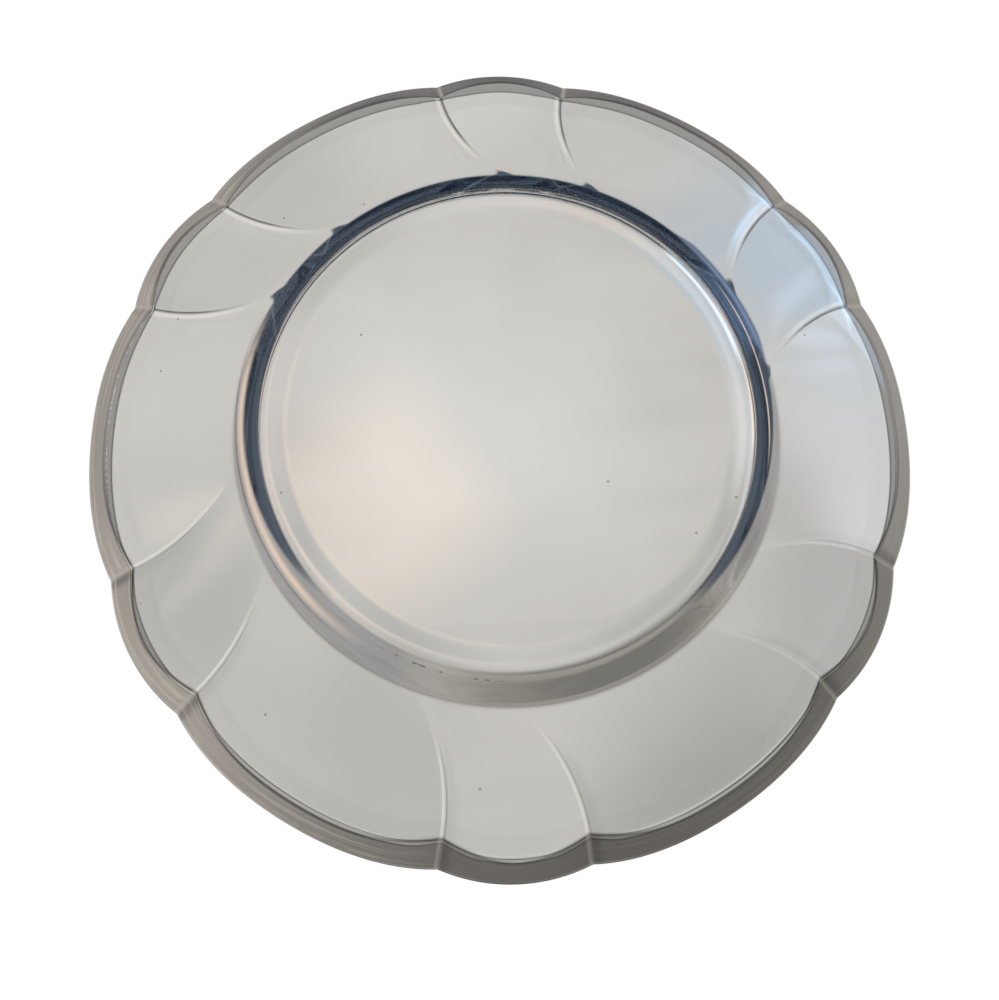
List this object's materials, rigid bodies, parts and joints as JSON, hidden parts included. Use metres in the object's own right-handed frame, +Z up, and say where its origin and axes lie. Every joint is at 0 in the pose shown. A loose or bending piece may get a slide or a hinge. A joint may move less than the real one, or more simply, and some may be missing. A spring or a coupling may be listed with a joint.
{
  "type": "scalloped dessert plate",
  "caption": "Clear pressed-glass dessert plate with a flat well on a foot ring, a swirled petal flange and a scalloped bevelled rim.",
  "frame": {"origin": "centre of the foot ring's crest, on the table under the plate", "axes": "+Z up along the plate's axis, well opening upwards; +Y through the middle of one narrow petal; the petals' creases swing anticlockwise, seen from above, as they run in from the rim"},
  "size_m": [0.1952, 0.1958, 0.0217],
  "materials": {
    "glass": "clear pressed glass, fire-polished, faint grey tint"
  },
  "bodies": {
    "root": {"well_floor": "glass", "foot_ring": "glass", "well_wall": "glass", "rim_band": "glass", "wide_petal_1": "glass", "wide_petal_2": "glass", "wide_petal_3": "glass", "wide_petal_4": "glass", "wide_petal_5": "glass", "wide_petal_6": "glass", "narrow_petal_1": "glass", "narrow_petal_2": "glass", "narrow_petal_3": "glass", "narrow_petal_4": "glass", "narrow_petal_5": "glass", "narrow_petal_6": "glass"}
  },
  "joints": []
}
